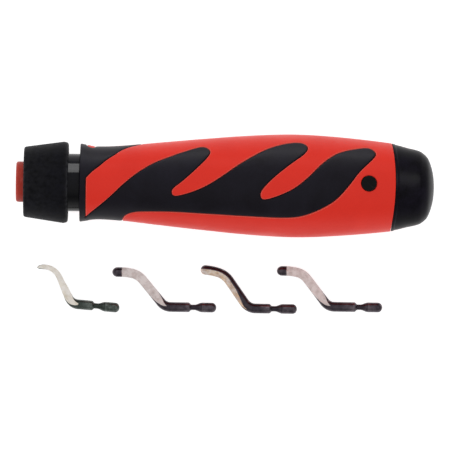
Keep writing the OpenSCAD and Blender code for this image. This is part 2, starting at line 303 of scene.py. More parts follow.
def new_material(name, **values):
    """A material with its tree and its shader, whose inputs are fed."""
    material = bpy.data.materials.new(name)
    material.use_nodes = True
    tree = material.node_tree
    return material, tree, feed(tree, tree.nodes["Principled BSDF"], **values)


def finish(name, colour, second, worn, roughness, metallic=0.0, grain=1500.0, bump=0.15,
           bump_depth=0.00002, patches=90.0, wear=1.0, specular=0.5):
    """A procedural finish. roughness is (low, high); colours are linear RGB."""
    material, tree, shader = new_material(name, Metallic=metallic, Specular_IOR_Level=specular)
    fine = place_group(tree, GRAIN, Scale=grain)
    broad = place_group(tree, PATCHES, Scale=patches)
    edge = place_group(tree, EDGE_WEAR, Amount=wear)
    half_grain = remap(tree, fine.outputs["Mask"], 0.0, 1.0, 0.0, 0.5)
    tone = add_node(tree, "ShaderNodeMath", "MULTIPLY_ADD", _0=broad.outputs["Mask"], _1=0.6,
                    _2=half_grain).outputs[0]
    base = mix_colour(tree, tone, colour, second)
    height = add_node(tree, "ShaderNodeBump", Strength=bump, Distance=bump_depth,
                      Height=fine.outputs["Height"])
    feed(tree, shader, Base_Color=mix_colour(tree, edge.outputs["Mask"], base, worn),
         Roughness=remap(tree, tone, 0.0, 1.1, *roughness), Normal=height.outputs["Normal"])
    return material


SHELL_RED = finish("shell_red_plastic", (0.72, 0.028, 0.015), (0.66, 0.024, 0.013), (0.90, 0.20, 0.15),
                   (0.34, 0.46), grain=2600.0, bump=0.10, wear=0.0, specular=0.14)
# The lip's lighter red is a painted highlight: the thin light line that the rounded lip catches beside the
# grip. Its lower roughness is the lip's own smoother finish.
SHELL_LIP_HIGHLIGHT = finish("shell_red_lip_painted_highlight", (0.80, 0.10, 0.07), (0.72, 0.07, 0.05), (0.90, 0.20, 0.15),
                   (0.24, 0.36), grain=2600.0, bump=0.10, wear=0.0, specular=0.20)
GRIP_BLACK = finish("grip_black_rubber", (0.004, 0.003, 0.005), (0.009, 0.008, 0.013),
                    (0.04, 0.04, 0.045), (0.34, 0.48), grain=3200.0, bump=0.22, wear=0.0, specular=0.08)
COLLAR_BLACK = finish("collar_black_matte", (0.001, 0.001, 0.001), (0.006, 0.006, 0.009),
                      (0.06, 0.06, 0.065), (0.42, 0.60), grain=1100.0, bump=0.6,
                      bump_depth=0.00005, patches=260.0, wear=0.9, specular=0.04)
NECK_BLACK = finish("neck_black_gloss", (0.001, 0.001, 0.002), (0.002, 0.002, 0.003),
                    (0.03, 0.03, 0.03), (0.06, 0.12), grain=2200.0, bump=0.04, wear=0.0, specular=0.10)
NOSE_RED = finish("nose_brick_red", (0.44, 0.030, 0.016), (0.35, 0.024, 0.013), (0.60, 0.12, 0.09),
                  (0.38, 0.52), grain=1800.0, bump=0.20, wear=0.8, specular=0.14)
CAP_BLACK = finish("cap_black_satin", (0.001, 0.001, 0.001), (0.005, 0.004, 0.008),
                   (0.05, 0.05, 0.055), (0.26, 0.42), grain=2000.0, bump=0.18, patches=160.0,
                   wear=0.0, specular=0.04)
BUTTON_BLACK = finish("button_black", (0.002, 0.002, 0.002), (0.004, 0.004, 0.004),
                      (0.02, 0.02, 0.02), (0.45, 0.60), grain=2400.0, bump=0.15, wear=0.3, specular=0.08)
OXIDE = finish("blade_black_oxide", (0.012, 0.009, 0.014), (0.030, 0.022, 0.030),
               (0.20, 0.17, 0.19), (0.18, 0.32), metallic=0.8, grain=1800.0, bump=0.3,
               patches=500.0, wear=0.9)
HOOK_OXIDE = finish("hook_blade_dark_oxide", (0.012, 0.017, 0.014), (0.030, 0.040, 0.033),
                    (0.24, 0.27, 0.25), (0.18, 0.34), metallic=0.8, grain=1800.0, bump=0.3,
                    patches=500.0, wear=0.9)
STEEL = finish("zinc_steel", (0.55, 0.55, 0.56), (0.42, 0.42, 0.44), (0.72, 0.72, 0.73),
               (0.22, 0.40), metallic=1.0, grain=1500.0, bump=0.15, wear=0.6)
SPRING_STEEL = finish("spring_steel", (0.40, 0.40, 0.42), (0.30, 0.30, 0.32), (0.60, 0.60, 0.62),
                      (0.20, 0.35), metallic=1.0, grain=2000.0, bump=0.15, wear=0.4)
DARK_STEEL = finish("phosphated_steel", (0.06, 0.06, 0.06), (0.09, 0.09, 0.09), (0.25, 0.25, 0.25),
                    (0.40, 0.60), metallic=0.9, grain=1600.0, bump=0.3, wear=0.8)
BRASS = finish("turned_brass", (0.62, 0.44, 0.16), (0.52, 0.36, 0.13), (0.78, 0.62, 0.32),
               (0.20, 0.36), metallic=1.0, grain=1500.0, bump=0.15, wear=0.5)
SEAL_RUBBER = finish("seal_rubber", (0.010, 0.010, 0.010), (0.018, 0.018, 0.018), (0.04, 0.04, 0.04),
                     (0.50, 0.70), grain=2600.0, bump=0.2, wear=0.2)
print("finishes:", len(bpy.data.materials))

# %% [markdown]
# ## Ground steel
# The flats on a blade are ground bright, with fine lines left by the wheel. A noise that
# is stretched a long way along one axis gives those lines, and a second, softer noise
# varies the tone as the heat of grinding does.

# %% Ground flats, silver and straw-coloured


def ground_steel(name, colour, second, metallic):
    material, tree, shader = new_material(name, Metallic=metallic)
    place = add_node(tree, "ShaderNodeTexCoord")
    stretch = add_node(tree, "ShaderNodeMapping", Vector=place.outputs["Object"],
                       Scale=(900, 9000, 900), Rotation=(0, 0, math.radians(38)))
    lines = add_node(tree, "ShaderNodeTexNoise", Vector=stretch.outputs["Vector"], Scale=1.0,
                     Detail=3.0).outputs["Fac"]
    broad = place_group(tree, PATCHES, Scale=420.0)
    edge = place_group(tree, EDGE_WEAR, Amount=0.5)
    base = mix_colour(tree, broad.outputs["Mask"], colour, second)
    streaked = mix_colour(tree, remap(tree, lines, 0.3, 0.7, 0.0, 0.35), base,
                          tuple(0.6 * c for c in colour))
    height = add_node(tree, "ShaderNodeBump", Strength=0.12, Distance=0.00002, Height=lines)
    feed(tree, shader, Base_Color=mix_colour(tree, edge.outputs["Mask"], streaked, (0.9, 0.88, 0.86)),
         Roughness=remap(tree, lines, 0.3, 0.7, 0.34, 0.50), Normal=height.outputs["Normal"])
    return material


GROUND = ground_steel("ground_steel", (0.58, 0.50, 0.47), (0.48, 0.41, 0.385), 0.25)
GROUND_HOOK = ground_steel("ground_steel_hook", (0.88, 0.82, 0.71), (0.66, 0.59, 0.46), 0.2)
GROUND_STRAW = ground_steel("ground_steel_straw", (0.72, 0.46, 0.24), (0.42, 0.29, 0.25), 0.5)
print("ground finishes:", GROUND.name, GROUND_HOOK.name, GROUND_STRAW.name)

# %% [markdown]
# ## The handle's shape and the grip's outline
# The handle is a body of revolution: a flange at the front, a waist, a belly and a taper
# to the cap. The soft grip is let into it in one slanting, three-fingered shape. Both
# follow the CAD outlines. The grip's edge is drawn as seen from above and then wrapped
# round the handle: height above the axis becomes an angle round it.

# %% Outlines
HANDLE_FRONT = 20.8
FLANGE_BACK = 22.1
FLANGE_R = 9.8
GRIP_DEPTH = 1.2
SEAM_R = 80.0
SEAM_X = 123.3 - SEAM_R
BUTTON_X = 114.6
WRAP = 15.0   # the wrapped sheet's millimetres for each radian round the handle
RIM_ROUND = 0.45
TOP_R = 16.749   # just inside the radius of the CAD's handle
GROOVE = 0.34    # how far both skins roll down into the groove between them
SEAM_ROLL = 0.16
STORE_END, BORE_R = 108, 11.2

HANDLE_OUTLINE = [
    (20.8, 12.8), (23.1, 12.35), (25, 11.95), (28.6, 11.85), (34.5, 12.2), (40, 12.75),
    (46, 13.4), (52, 14), (58, 14.6), (64, 15.15), (70, 15.7), (76, 16.15), (82, 16.5),
    (89.5, 16.75), (97, 16.58), (104, 16.15), (110, 15.65), (116, 15.05), (122, 14.35),
    (124.5, 13.9),
]
GRIP_FRONT_EDGE = [
    (40.2, 12.5), (37.1, 11.6), (34.4, 10.4), (31.9, 8.6), (29.4, 6.8), (27.2, 4.8),
    (24.9, 2.9), (22.8, 0.6),
]
GRIP_FINGER_EDGE = [
    (22.8, -11.6), (26.1, -9.1), (30.8, -5.3), (35.2, -1.1), (39.8, 2.7), (44.9, 5.9),
    (50.5, 8.3), (56.1, 10.4), (60.5, 11.6), (62.9, 10.3), (62.2, 8), (58.4, 3.9),
    (54, -0.2), (51.6, -2.1), (50.7, -3.6), (51.8, -5), (56.7, -3.9), (62.2, -1.5),
    (67.3, 1.8), (72.2, 5.4), (77.2, 8.6), (82.5, 11.4), (88.3, 13.1), (92.5, 13.3),
    (94.6, 11.8), (93.4, 9.3), (88.7, 5.6), (84.1, 1.7), (80.6, -2), (79.5, -4.2),
    (80.6, -5.9), (85.5, -4.6), (90.8, -1.9), (95.4, 2), (99.6, 6.4), (104.5, 9.9),
    (110.3, 11.6), (114.5, 12), (116.7, 10.2), (115.6, 8), (111.5, 3.7), (107.9, -1.2),
    (103.8, -5.7), (98.7, -8.8), (93, -10.9), (86.9, -11.5), (74.8, -11.1),
    (62.7, -10.5), (50.6, -9.9), (41.5, -9.9), (38, -10.2), (35.8, -11),
]
outline_curve = smooth_curve(HANDLE_OUTLINE, 12)
SIDE = WRAP * math.pi / 2     # the sheet's edge, on the handle's side


def handle_r(x):
    """The handle's radius, with its front rim rounded."""
    r = np.minimum(np.interp(x, outline_curve[:, 0], outline_curve[:, 1]), TOP_R)
    rim = np.clip(1 - (np.asarray(x) - HANDLE_FRONT) / RIM_ROUND, 0, 1)
    return r - RIM_ROUND * (1 - np.sqrt(1 - rim**2))


def floor_r(x):
    """The radius of the hard core under the grip."""
    ramp = np.clip((np.asarray(x) - FLANGE_BACK) / 0.6, 0, 1)
    return FLANGE_R + ramp * (handle_r(x) - GRIP_DEPTH - FLANGE_R)


def seam_at(y):
    """Where the curved seam between handle and cap is, at a height y beside the axis."""
    return SEAM_X + np.sqrt(SEAM_R**2 - np.asarray(y) ** 2)


def wrap_line(points):
    """Points seen from above, as (x, distance round the handle)."""
    p = np.array(points, float)
    share = np.clip(p[:, 1] / handle_r(p[:, 0]), -1, 1)
    return np.column_stack([p[:, 0], WRAP * np.arcsin(share)])


front_edge = np.vstack([[(40.9, SIDE + 3), (40.9, SIDE)], wrap_line(GRIP_FRONT_EDGE)])
finger_edge = np.vstack([wrap_line(GRIP_FINGER_EDGE),
                         [(34.9, -SIDE + 3.6), (34.7, -SIDE), (34.7, -SIDE - 3)]])
grip_edge = np.vstack([smooth_curve(front_edge, 6)[6:], smooth_curve(finger_edge, 6)[:-6]])
grip_edge = even_steps(grip_edge, 0.5)
grip_edge[0, 1], grip_edge[-1, 1] = SIDE, -SIDE
# A small red panel at the tool's side, behind the front flange
patch_edge = smooth_curve([(22.9, SIDE + 2), (22.9, SIDE), (23.05, 19.6), (23.5, 18.4), (24.3, 17.9),
                           (25.1, 18.4), (25.55, 19.6), (25.8, SIDE), (25.8, SIDE + 2)], 6)[6:-6]
patch_edge = even_steps(patch_edge, 0.5)
patch_edge[0, 1] = patch_edge[-1, 1] = SIDE
print("the grip's edge is", round(0.5 * len(grip_edge)), "mm long on one face,",
      round(0.5 * len(patch_edge)), "mm round the side panel")

# %% [markdown]
# ## Two skins that meet in a groove
# On the real handle the hard shell is moulded first and the soft grip is moulded into
# its recess, so the two meet in a fine groove with a small radius on either lip. The
# seam line is offset a little to each side, and the height of every point of the
# skin is read from its distance to that line. Each skin is filled with triangles in the
# flat, wrapped sheet, where a corner is easy to follow, and then laid round the handle.

# %% Offset the grip's edge, fill a region of the wrapped sheet
GAP = 0.06
TURN = np.radians(np.linspace(-90, 90, 97))
RIM_ROWS = [HANDLE_FRONT + RIM_ROUND * (1 - math.cos(math.radians(a))) for a in (0, 20, 40, 60, 90)]


def offset_line(line, distance):
    """The line moved sideways, ends kept on the sheet's borders; minus is towards the grip."""
    tangent = np.gradient(line, axis=0)
    tangent /= np.linalg.norm(tangent, axis=1)[:, None]
    moved = line + distance * np.column_stack([-tangent[:, 1], tangent[:, 0]])
    moved[0, 1], moved[-1, 1] = SIDE, -SIDE
    return moved


def distance_to(points, line):
    """Each point's distance to a line of short segments."""
    points = np.asarray(points, float)
    best = np.full(len(points), 1e9)
    for a, b in zip(line[:-1], line[1:]):
        along = b - a
        t = np.clip((points - a) @ along / (along @ along), 0, 1)
        best = np.minimum(best, np.linalg.norm(points - a - t[:, None] * along, axis=1))
    return best


def inside(points, polygon):
    """Which points are inside a closed polygon."""
    points = np.asarray(points, float)
    result = np.zeros(len(points), bool)
    for (x0, y0), (x1, y1) in zip(polygon, np.roll(polygon, -1, axis=0)):
        if y0 == y1:
            continue
        spans = (y0 > points[:, 1]) != (y1 > points[:, 1])
        result ^= spans & (points[:, 0] < (x1 - x0) * (points[:, 1] - y0) / (y1 - y0) + x0)
    return result


def fill(polygon, holes, extra):
    """Triangles that fill a polygon, less its holes, through the extra points."""
    loops = [polygon] + holes
    points, edges = [], []
    for loop in loops:
        first = len(points)
        points += [tuple(p) for p in loop]
        edges += [(first + k, first + (k + 1) % len(loop)) for k in range(len(loop))]
    extra = np.asarray(extra, float)
    if len(extra):
        extra = extra[inside(extra, polygon)]
        points += [tuple(p) for p in extra]
    spots, _, triangles, *_ = delaunay_2d_cdt([Vector(p) for p in points], edges, [], 0, 1e-6)
    spots = np.array([tuple(p) for p in spots])
    triangles = np.array([tuple(t) for t in triangles])
    middle = spots[triangles].mean(axis=1)
    keep = inside(middle, polygon)
    for hole in holes:
        keep &= ~inside(middle, hole)
    return spots, triangles[keep]


square = np.array([(0, 0), (4, 0), (4, 4), (0, 4.0)])
print("a square with a square hole fills with", len(fill(square, [square / 2 + 1], [])[1]), "triangles")

# %% [markdown]
# ## Laying the skins round the handle
# A `Skin` collects points and faces in millimetres. Its sheets are laid on either face of
# the tool: the two faces are mirror images, apart from the button's well. A sheet can
# take a second material along the seams, which gives the shell its lighter lip: a painted
# highlight, the thin light line beside each seam.

# %% The skin collector and the region borders


def wrap_points(line, r, face):
    """Points of the wrapped sheet laid round the handle at a radius, on one face of the tool."""
    line = np.asarray(line, float)
    a = line[:, 1] / WRAP
    return np.column_stack([line[:, 0], r * np.sin(a), face * r * np.cos(a)])


class Skin:
    """Collects the points and faces of one closed moulding."""

    def __init__(self):
        self.points, self.faces, self.paint = [], [], []

    def add(self, points, faces, paint=None):
        first = len(self.points)
        self.points += [tuple(p) for p in points]
        self.faces += [[first + int(k) for k in face] for face in faces]
        self.paint += [0] * len(faces) if paint is None else [int(p) for p in paint]

    def sheet(self, polygon, holes, extra, radius, face, lip=0):
        """Fills a region; triangles nearer than lip to a grip edge take the second material."""
        spots, triangles = fill(polygon, holes, extra)
        paint = to_edges(spots[triangles].mean(axis=1)) < lip if lip else None
        self.add(wrap_points(spots, radius(spots), face), triangles, paint)

    def strip(self, *rows, closed=False):
        """Quads between rows of points that have the same length."""
        n = len(rows[0])
        points = np.vstack(rows)
        last = n if closed else n - 1
        self.add(points, [(j * n + k, j * n + (k + 1) % n, (j + 1) * n + (k + 1) % n, (j + 1) * n + k)
                          for j in range(len(rows) - 1) for k in range(last)])


def ring_points(x, r, face):
    """Half a ring about the axis, x and r each a number or one for each step."""
    x, r = np.broadcast_to(x, TURN.shape), np.broadcast_to(r, TURN.shape)
    return np.column_stack([x, r * np.sin(TURN), face * r * np.cos(TURN)])


def end_row():
    """Where the shell's outer skin meets the curved seam, for each step round."""
    x = np.full(TURN.shape, 123.0)
    for _ in range(6):
        x = seam_at(handle_r(x) * np.sin(TURN))
    return np.column_stack([x, WRAP * TURN])


def side_line(x0, x1, s, spacing=1.2):
    return even_steps([(x0, s), (x1, s)], spacing)[1:-1]


def side_offset(distance):
    """The side panel's edge moved sideways; minus is towards the grip."""
    moved = offset_line(patch_edge, distance)
    moved[0, 1] = moved[-1, 1] = SIDE
    return moved


def to_edges(spots):
    """Each point's distance to the nearest seam between shell and grip."""
    return np.minimum(distance_to(spots, grip_edge), distance_to(spots, patch_edge))


shell_edge = offset_line(grip_edge, GAP)
grip_line = offset_line(grip_edge, -GAP)
patch_shell, patch_grip = side_offset(GAP), side_offset(-GAP)
rear_row = end_row()
front_row = np.column_stack([np.full(TURN.shape, HANDLE_FRONT), WRAP * TURN])
turn_grid = WRAP * np.radians(np.arange(-87.1875, 88, 2.8125))
CORE_ROWS = [22.1, 22.4, 22.7] + list(np.arange(24, 118, 1.5))
LIP_STEPS = (0.13, 0.23, 0.39, 0.58)


def grid(xs):
    return np.array([(x, s) for x in xs for s in turn_grid])


outer_region = np.vstack([
    shell_edge,
    side_line(shell_edge[-1, 0], rear_row[0, 0], -SIDE),
    rear_row,
    side_line(rear_row[-1, 0], shell_edge[0, 0], SIDE),
])
under_region = np.vstack([
    shell_edge,
    side_line(shell_edge[-1, 0], HANDLE_FRONT, -SIDE, 0.6),
    front_row,
    side_line(HANDLE_FRONT, patch_shell[0, 0], SIDE, 0.6),
    patch_shell,
    side_line(patch_shell[-1, 0], shell_edge[0, 0], SIDE, 0.6),
])
patch_region = np.vstack([patch_shell, side_line(patch_shell[-1, 0], patch_shell[0, 0], SIDE, 0.6)])
RIM_BACK = 22.0
grip_sides = RIM_ROWS[1:] + [RIM_BACK]
grip_region = np.vstack([
    grip_line,
    side_line(grip_line[-1, 0], RIM_BACK, -SIDE),
    [(x, -SIDE) for x in grip_sides[::-1]],
    front_row,
    [(x, SIDE) for x in grip_sides],
    side_line(RIM_BACK, patch_grip[0, 0], SIDE),
    patch_grip,
    side_line(patch_grip[-1, 0], grip_line[0, 0], SIDE),
])
print("regions:", len(outer_region), len(under_region), len(grip_region), "border points")
for label, region in (("outer", outer_region), ("under", under_region), ("grip", grip_region)):
    x, s = region[:, 0], region[:, 1]
    print(f"  {label}: {abs(np.sum(x * np.roll(s, -1) - np.roll(x, -1) * s)) / 2:.0f} mm2 of the sheet")

# %% [markdown]
# ## The hard shell
# The shell is one moulding in hard red plastic: the outer skin, the recess under the
# grip, the bore for the chuck, the blade store, and the well that the button sits in. The
# lip along the grip rolls over gently and has a smoother finish. Its lighter red is a
# painted highlight, a thin light line beside every black edge.

# %% Shell: outer skin, recess, button well, inside and seam face
WELL_R, LEDGE_Z, STEM_HOLE_R = 2.6, 12.0, 1.42
# Within this reach of a seam the shell takes the lip's lighter red, a painted highlight.
LIP = 0.3   # how far from a seam the shell's lip reaches
CHAMBER = [(20.8, 9.8), (20.8, 8.03), (38, 8.03), (38, 3.1), (43, 3.1), (43, 10.2),
           (STORE_END, 10.2), (STORE_END, BORE_R)]
around = np.radians(np.arange(0, 360, 7.5))


def circle_on(radius, surface_r):
    """A circle about the button's axis, as points of the wrapped sheet at that radius."""
    x, y = BUTTON_X + radius * np.cos(around), radius * np.sin(around)
    return np.column_stack([x, WRAP * np.arcsin(y / surface_r(x))])


def bore_r(spots):
    return np.full(len(spots), BORE_R)


def shell_skin_r(spots):
    """The outer skin's radius, rolled over at the grip, the seam and the button's well."""
    r = handle_r(spots[:, 0])
    r = r - np.interp(to_edges(spots), [GAP, 0.12, 0.22, 0.38, 0.55],
                      [GROOVE, 0.15, 0.05, 0.012, 0])
    to_seam = np.interp(spots[:, 1], rear_row[:, 1], rear_row[:, 0]) - spots[:, 0]
    return r - np.interp(to_seam, [0, 0.05, 0.12, 0.22], [SEAM_ROLL, 0.06, 0.015, 0])


def well_lip(spots):
    """How far the skin rolls down into the button's well."""
    y = handle_r(spots[:, 0]) * np.sin(spots[:, 1] / WRAP)
    away = np.hypot(spots[:, 0] - BUTTON_X, y) - WELL_R
    return np.interp(away, [0, 0.04, 0.12, 0.3], [0.2, 0.1, 0.03, 0])


lip_rows = np.vstack([offset_line(grip_edge, d)[1:-1] for d in LIP_STEPS])
patch_rows = np.vstack([side_offset(d)[2:-2] for d in LIP_STEPS])
seam_rows = np.vstack([rear_row[1:-1] - (d, 0) for d in (0.05, 0.12, 0.24, 0.7)])
plain = grid(np.arange(21.9, 122.6, 1.15))
plain = plain[distance_to(plain, grip_edge) > 0.95]
plain = plain[plain[:, 0] < np.interp(plain[:, 1], rear_row[:, 1], rear_row[:, 0]) - 1.2]
well_rows = np.vstack([circle_on(WELL_R + d, handle_r) for d in (0.04, 0.12, 0.3, 0.8)])
well_edge = circle_on(WELL_R, handle_r)
stem_edge = circle_on(STEM_HOLE_R, lambda x: BORE_R)
near_well = np.hypot(plain[:, 0] - BUTTON_X, plain[:, 1]) < WELL_R + 1.3

shell = Skin()
for face in (1, -1):
    well = face > 0
    fill_rows = [plain[~near_well], well_rows] if well else [plain]
    shell.sheet(outer_region, [well_edge] if well else [], np.vstack([lip_rows, seam_rows] + fill_rows),
                lambda p: shell_skin_r(p) - (well_lip(p) if well else 0), face, LIP)
    recess = grid(list(np.arange(21.4, 22.1, 0.35)) + CORE_ROWS)
    recess = recess[(distance_to(recess, shell_edge) > 0.25) & (distance_to(recess, patch_shell) > 0.25)]
    shell.sheet(under_region, [], recess, lambda p: floor_r(p[:, 0]), face)
    shell.sheet(patch_region, [], patch_rows, shell_skin_r, face, LIP)
    for line in (shell_edge, patch_shell):
        lip = wrap_points(line, handle_r(line[:, 0]) - GROOVE, face)
        shell.strip(lip, wrap_points(line, floor_r(line[:, 0]), face))
    shell.strip(*[ring_points(x, r, face) for x, r in CHAMBER])
    skin_end = handle_r(rear_row[:, 0]) - SEAM_ROLL
    seam_face = [ring_points(seam_at(r * np.sin(TURN)), r, face)
                 for r in (skin_end + (BORE_R - skin_end) * t for t in (0.35, 0.7, 1))]
    shell.strip(wrap_points(rear_row, skin_end, face), *seam_face)
    bore_end = seam_at(BORE_R * np.sin(TURN))
    bore_region = np.vstack([
        [(STORE_END, WRAP * a) for a in TURN[::-1]],
        side_line(STORE_END, bore_end[0], -SIDE, 1.5),
        np.column_stack([bore_end, WRAP * TURN]),
        side_line(bore_end[-1], STORE_END, SIDE, 1.5),
    ])
    bore_grid = grid(np.arange(109.5, 121.4, 1.5))
    clear = np.hypot(bore_grid[:, 0] - BUTTON_X, bore_grid[:, 1] * BORE_R / WRAP) > 2.2
    shell.sheet(bore_region, [stem_edge] if well else [], bore_grid[clear] if well else bore_grid,
                bore_r, face)

ring = np.column_stack([BUTTON_X + WELL_R * np.cos(around), WELL_R * np.sin(around)])
stem = np.column_stack([BUTTON_X + STEM_HOLE_R * np.cos(around), STEM_HOLE_R * np.sin(around)])
top = wrap_points(well_edge, handle_r(well_edge[:, 0]) - 0.2, 1)
at_ledge = np.column_stack([ring, np.full(len(ring), LEDGE_Z)])
hole_top = np.column_stack([stem, np.full(len(stem), LEDGE_Z)])
hole_foot = wrap_points(stem_edge, BORE_R, 1)
shell.strip(top, at_ledge, hole_top, hole_foot, closed=True)

shell_piece = make_piece("handle_shell_skin", shell.points, shell.faces, [SHELL_RED, SHELL_LIP_HIGHLIGHT], shell.paint)
install(shell_piece, "handle", "shell_red", "handle_shell")

# %% [markdown]
# ## The soft grip
# The grip is a thermoplastic rubber skin, 1.2 mm thick. Its surface stands very slightly
# proud between its edges, as an overmoulding does after it cools, and closes the front
# of the handle with a rounded rim.

# %% Grip: crowned skin, floor, edge walls and front rim


def grip_skin_r(spots):
    r = handle_r(spots[:, 0])
    rise = np.interp(to_edges(spots), [GAP, 0.12, 0.24, 0.42, 0.9, 1.8],
                     [-GROOVE, -0.14, -0.04, 0.0, 0.04, 0.06])
    rise = np.where(spots[:, 0] < FLANGE_BACK, np.minimum(rise, 0), rise)
    return np.minimum(r + rise, 16.74)


lip_rows = np.vstack([line(-d)[1:-1] for d in (0.13, 0.25, 0.43, 0.9)
                      for line in (lambda d: offset_line(grip_edge, d), side_offset)])
rim_grid = np.array([(x, WRAP * a) for x in grip_sides for a in TURN[1:-1]])
rim_grid = rim_grid[to_edges(rim_grid) > 0.35]
body_grid = grid(np.arange(23.1, 118, 1.15))
body_grid = body_grid[to_edges(body_grid) > 1.2]
under_grid = grid([21.4] + CORE_ROWS)
under_grid = under_grid[to_edges(under_grid) > 0.4]

grip = Skin()
for face in (1, -1):
    grip.sheet(grip_region, [], np.vstack([lip_rows, rim_grid, body_grid]), grip_skin_r, face)
    grip.sheet(grip_region, [], under_grid, lambda p: floor_r(p[:, 0]) + 0.02, face)
    for line in (grip_line, patch_grip):
        grip.strip(wrap_points(line, grip_skin_r(line), face),
                   wrap_points(line, floor_r(line[:, 0]) + 0.02, face))
    grip.strip(wrap_points(front_row, grip_skin_r(front_row), face),
               wrap_points(front_row, 11.0, face),
               wrap_points(front_row, FLANGE_R + 0.02, face))

grip_piece = make_piece("grip_inlay", grip.points, grip.faces, [GRIP_BLACK])
install(grip_piece, "handle", "grip_black", "grip_overmould")

# %% [markdown]
# ## Nose, collar and neck
# These are turned about the tool's axis. The nose is a red plug with the blade's bore and
# the two cross holes for the lock pins. The collar is a matte black sleeve that is pulled
# back to free a blade. The glossy neck behind it belongs to the chuck that is fixed in the
# handle. Every corner that shows has a small radius, because moulded parts never end in a
# knife edge.

# %% Turned parts, with holes cut by a Boolean


def cylinder_between(start, end, radius, steps=48):
    """A plain closed cylinder in millimetres, for cutting."""
    a, b = Vector(start), Vector(end)
    along = (b - a).normalized()
    side = along.orthogonal().normalized()
    other = along.cross(side)
    points, n = [], steps
    for centre in (a, b):
        points += [centre + radius * (math.cos(2 * math.pi * k / n) * side
                                      + math.sin(2 * math.pi * k / n) * other) for k in range(n)]
    faces = [(k, (k + 1) % n, n + (k + 1) % n, n + k) for k in range(n)]
    return points, faces + [tuple(range(n)), tuple(range(n, 2 * n))]


def block(low, high):
    """A plain box in millimetres, for cutting."""
    points = [(x, y, z) for x in (low[0], high[0]) for y in (low[1], high[1]) for z in (low[2], high[2])]
    return points, [(0, 1, 3, 2), (4, 5, 7, 6), (0, 1, 5, 4), (2, 3, 7, 6), (0, 2, 6, 4), (1, 3, 7, 5)]


def plain_mesh(piece):
    """Applies a piece's modifiers for good."""
    bpy.context.view_layer.update()
    made = bpy.data.meshes.new_from_object(piece.evaluated_get(bpy.context.evaluated_depsgraph_get()))
    piece.modifiers.clear()
    old, piece.data = piece.data, made
    bpy.data.meshes.remove(old)
    made.name = piece.name
    return piece


def cut(piece, *cutters):
    """Cuts closed shapes out of a piece."""
    for k, (points, faces) in enumerate(cutters):
        tool = make_piece(f"cutter_{k}", points, faces, [])
        modifier = piece.modifiers.new("cut", "BOOLEAN")
        modifier.operation, modifier.solver, modifier.object = "DIFFERENCE", "EXACT", tool
        plain_mesh(piece)
        bpy.data.objects.remove(tool)
    piece.data.set_sharp_from_angle(angle=SHARP)
    return piece


nose = turned("nose_plug", [
    (0, 1.65, 0.25), (0, 6.6, 0.9), (31, 6.6, 0.3), (31, 0), (14.5, 0), (14.5, 1.65),
    (8.6, 1.65), (8.6, 1.9), (6.4, 1.9), (6.4, 1.65),
], NOSE_RED)
cut(nose, cylinder_between((7.5, 0, -9), (7.5, 0, 9), 1.05),
    cylinder_between((26, -9, 0), (26, 9, 0), 1.5))
install(nose, "handle", "nose_red", "nose_bush")

collar = turned("collar_sleeve", [
    (2.5, 6.9, 0.15), (2.5, 11.4, 0.85), (15.5, 13.27, 0.9), (17, 12.95, 1.0), (17, 9.5, 0.2),
    (14.2, 9.5), (14.2, 10.3), (3.2, 10.3), (3.2, 6.9),
], COLLAR_BLACK)
install(collar, "collar", "collar_black", "release_collar")

neck = turned("chuck_neck", [
    (12.8, 8.6), (12.8, 9.4, 0.25), (13.3, 9.4), (13.3, 9.0), (14.1, 9.0), (14.1, 9.4),
    (20.8, 9.4, 0.1), (20.8, 8.0), (38, 8.0, 0.2), (38, 3.0), (51, 3.0, 0.4), (51, 0),
    (31, 0), (31, 6.6), (17, 6.6), (17, 8.6),
], NECK_BLACK)
cut(neck, cylinder_between((26, -9, 0), (26, 9, 0), 1.5))
install(neck, "handle", "neck_black", "chuck_body")

# %% [markdown]
# ## The rear cap
# The cap is a satin black dome. Its front edge follows the curved seam, and a fine step
# runs just behind that edge, so that the eye sees a crisp line even where the gap is
# closed. A spigot in front carries a rubber seal and fits the handle's bore. A slot in it
# lets the button's stem pass.

# %% Dome, step line, spigot and slot
CAP_OUTLINE = [
    (121, 14.45), (122.2, 14.3), (124.3, 13.8), (127.2, 12.95), (130.2, 12.25), (132.1, 11.4),
    (134.1, 9.3), (135.55, 4.9), (136, 0), (135.55, -4.9),
]
cap_curve = smooth_curve(CAP_OUTLINE, 10)[:-10]
angle = np.radians(np.arange(0, 360, 360 / TURN_STEPS))
EDGE_DROP, STEP_DROP, STEP_BACK = 0.14, 0.13, 1.5
SPIGOT_R, SPIGOT_FRONT = 11.1, 109


def cap_r(x):
    return np.interp(x, cap_curve[:, 0], cap_curve[:, 1])


def cap_seam(y):
    return SEAM_X + np.sqrt((SEAM_R + 0.1) ** 2 - np.asarray(y) ** 2)


def cap_ring(x, r):
    x, r = np.broadcast_to(x, angle.shape), np.broadcast_to(r, angle.shape)
    return np.column_stack([x, r * np.sin(angle), r * np.cos(angle)])


start = np.full(angle.shape, 123.0)
for _ in range(6):
    start = cap_seam(cap_r(start) * np.sin(angle))

